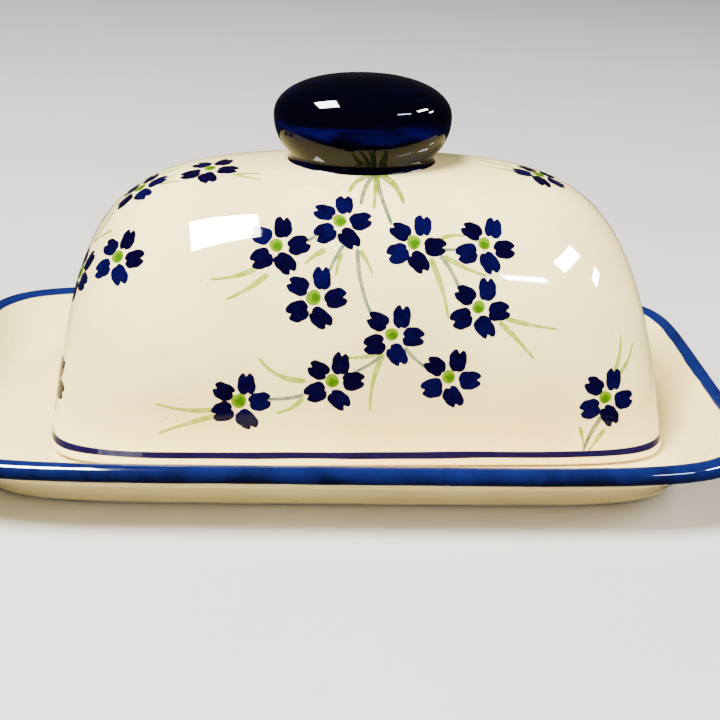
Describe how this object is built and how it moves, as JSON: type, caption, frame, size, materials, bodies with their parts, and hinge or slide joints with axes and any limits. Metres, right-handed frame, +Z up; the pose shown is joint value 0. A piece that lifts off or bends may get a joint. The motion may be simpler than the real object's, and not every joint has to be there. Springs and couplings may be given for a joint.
{
  "type": "butter dish",
  "caption": "Covered stoneware butter dish: a shallow footed dish with a flared well, and a hollow loaf-shaped cover that lifts off by its bun-shaped knob.",
  "frame": {"origin": "under the middle of the dish, on the surface the foot ring stands on", "axes": "+X along the dish's length, +Y across it, +Z up"},
  "size_m": [0.2, 0.12, 0.0942],
  "materials": {
    "dish_glaze": "glossy cream glaze with fine specks, mid-blue painted lip, unglazed foot ring",
    "cover_glaze": "glossy cream glaze with fine specks over hand-painted dark blue flowers and green leaves, unglazed bottom edge",
    "knob_glaze": "very glossy, nearly black cobalt glaze"
  },
  "bodies": {
    "dish": {"dish": "dish_glaze"},
    "cover": {"cover": "cover_glaze", "knob": "knob_glaze"}
  },
  "joints": [
    {"name": "cover_lift", "type": "slide", "parent": "dish", "child": "cover", "axis": [0, 0, 1], "range_m": [0, 0.12]}
  ]
}
